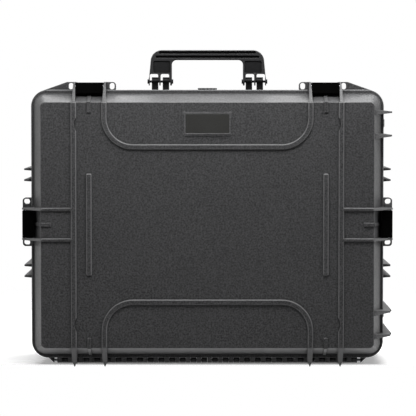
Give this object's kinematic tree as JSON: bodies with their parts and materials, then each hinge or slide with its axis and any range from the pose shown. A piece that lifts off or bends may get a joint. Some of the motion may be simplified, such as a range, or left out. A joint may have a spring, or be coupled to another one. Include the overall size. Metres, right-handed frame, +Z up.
{
  "type": "wheeled protective case",
  "caption": "Wheeled protective case in ribbed dark plastic, standing on its hinge side, with guarded latches, a folding carrying handle, a pull handle and a blank name plate.",
  "frame": {"origin": "middle of the bounding box's footprint, on the floor, with the case standing on its hinge side", "axes": "+X towards the wheels, +Y from the lid to the back panel, +Z up towards the carrying handle"},
  "size_m": [0.687, 0.276, 0.588],
  "materials": {
    "shell_plastic": "fine leather grain, moulded",
    "latch_plastic": "satin moulded",
    "handle_plastic": "satin moulded",
    "black_steel": "black oxide",
    "seal_rubber": "soft matt",
    "plate_plastic": "satin, blank",
    "pin_steel": "drawn",
    "screw_steel": "zinc plated",
    "spring_steel": "drawn wire",
    "bearing_steel": "ground",
    "tube_aluminium": "clear anodised",
    "valve_plastic": "moulded",
    "trolley_plastic": "moulded",
    "button_plastic": "moulded",
    "hub_plastic": "moulded nylon",
    "wheel_tyre": "moulded polyurethane"
  },
  "bodies": {
    "base": {"base_shell": "shell_plastic", "hinge_pins": "pin_steel", "front_handle_brackets": "handle_plastic", "front_handle_bracket_screws": "screw_steel", "front_handle_pins": "black_steel", "valve_body": "valve_plastic", "valve_seal": "seal_rubber", "valve_nut": "valve_plastic", "upper_wheel_bracket": "hub_plastic", "lower_wheel_bracket": "hub_plastic", "upper_wheel_axle": "pin_steel", "lower_wheel_axle": "pin_steel", "upper_wheel_washers": "pin_steel", "lower_wheel_washers": "pin_steel", "wheel_bracket_screws": "screw_steel", "trolley_outer_tubes": "tube_aluminium", "trolley_guide_bushes": "trolley_plastic", "trolley_tube_plugs": "trolley_plastic", "trolley_clamps": "trolley_plastic", "trolley_clamp_screws": "screw_steel"},
    "lid": {"lid_shell": "shell_plastic", "lid_gasket": "seal_rubber", "name_plate": "plate_plastic", "front_left_latch_pivot_pin": "pin_steel", "front_right_latch_pivot_pin": "pin_steel", "left_latch_pivot_pin": "pin_steel", "right_latch_pivot_pin": "pin_steel"},
    "handle": {"front_handle": "handle_plastic"},
    "upper_wheel": {"upper_wheel_tyre": "wheel_tyre", "upper_wheel_hub": "hub_plastic", "upper_wheel_bearings": "bearing_steel"},
    "lower_wheel": {"lower_wheel_tyre": "wheel_tyre", "lower_wheel_hub": "hub_plastic", "lower_wheel_bearings": "bearing_steel"},
    "pull_handle": {"trolley_inner_tubes": "tube_aluminium", "trolley_grip_outer": "trolley_plastic", "trolley_grip_inner": "trolley_plastic", "trolley_button_springs": "spring_steel"},
    "pull_button": {"trolley_button": "button_plastic", "trolley_lock_rods": "pin_steel"},
    "valve_turn": {"valve_knob": "valve_plastic"},
    "front_left_latch": {"front_left_latch_body": "latch_plastic", "front_left_latch_lever_pin": "pin_steel"},
    "front_left_lever": {"front_left_latch_lever": "latch_plastic"},
    "front_right_latch": {"front_right_latch_body": "latch_plastic", "front_right_latch_lever_pin": "pin_steel"},
    "front_right_lever": {"front_right_latch_lever": "latch_plastic"},
    "left_latch": {"left_latch_body": "latch_plastic", "left_latch_lever_pin": "pin_steel"},
    "left_lever": {"left_latch_lever": "latch_plastic"},
    "right_latch": {"right_latch_body": "latch_plastic", "right_latch_lever_pin": "pin_steel"},
    "right_lever": {"right_latch_lever": "latch_plastic"}
  },
  "joints": [
    {"name": "lid_hinge", "type": "hinge", "parent": "base", "child": "lid", "pos_m": [0, -0.08, 0.0093], "axis": [1, 0, 0], "range_deg": [0, 105]},
    {"name": "handle_fold", "type": "hinge", "parent": "base", "child": "handle", "pos_m": [0, -0.038, 0.5293], "axis": [-1, 0, 0], "range_deg": [0, 100]},
    {"name": "upper_wheel_spin", "type": "hinge", "parent": "base", "child": "upper_wheel", "pos_m": [0.3075, 0.1, 0.4502], "axis": [0, 0, 1], "continuous": true},
    {"name": "lower_wheel_spin", "type": "hinge", "parent": "base", "child": "lower_wheel", "pos_m": [0.3075, 0.1, 0.0803], "axis": [0, 0, 1], "continuous": true},
    {"name": "pull_handle_slide", "type": "slide", "parent": "base", "child": "pull_handle", "axis": [-1, 0, 0], "range_m": [0, 0.37]},
    {"name": "pull_button_press", "type": "slide", "parent": "pull_handle", "child": "pull_button", "axis": [1, 0, 0], "range_m": [0, 0.004], "stiffness_N_per_m": 1500, "deforming": ["trolley_button_springs"]},
    {"name": "valve_knob_turn", "type": "hinge", "parent": "base", "child": "valve_turn", "pos_m": [0, -0.038, 0.5135], "axis": [0, 0, 1], "range_deg": [0, 180]},
    {"name": "front_left_latch_swing", "type": "hinge", "parent": "lid", "child": "front_left_latch", "pos_m": [-0.2179, -0.106, 0.5194], "axis": [1, 0, 0], "range_deg": [0, 95]},
    {"name": "front_left_lever_release", "type": "hinge", "parent": "front_left_latch", "child": "front_left_lever", "pos_m": [-0.2179, -0.0655, 0.5214], "axis": [1, 0, 0], "range_deg": [0, 55]},
    {"name": "front_right_latch_swing", "type": "hinge", "parent": "lid", "child": "front_right_latch", "pos_m": [0.2179, -0.106, 0.5194], "axis": [1, 0, 0], "range_deg": [0, 95]},
    {"name": "front_right_lever_release", "type": "hinge", "parent": "front_right_latch", "child": "front_right_lever", "pos_m": [0.2179, -0.0655, 0.5214], "axis": [1, 0, 0], "range_deg": [0, 55]},
    {"name": "left_latch_swing", "type": "hinge", "parent": "lid", "child": "left_latch", "pos_m": [-0.3349, -0.106, 0.26525], "axis": [0, 0, 1], "range_deg": [0, 95]},
    {"name": "left_lever_release", "type": "hinge", "parent": "left_latch", "child": "left_lever", "pos_m": [-0.3369, -0.0655, 0.26525], "axis": [0, 0, 1], "range_deg": [0, 55]},
    {"name": "right_latch_swing", "type": "hinge", "parent": "lid", "child": "right_latch", "pos_m": [0.3349, -0.106, 0.26525], "axis": [0, 0, -1], "range_deg": [0, 95]},
    {"name": "right_lever_release", "type": "hinge", "parent": "right_latch", "child": "right_lever", "pos_m": [0.3369, -0.0655, 0.26525], "axis": [0, 0, -1], "range_deg": [0, 55]}
  ]
}
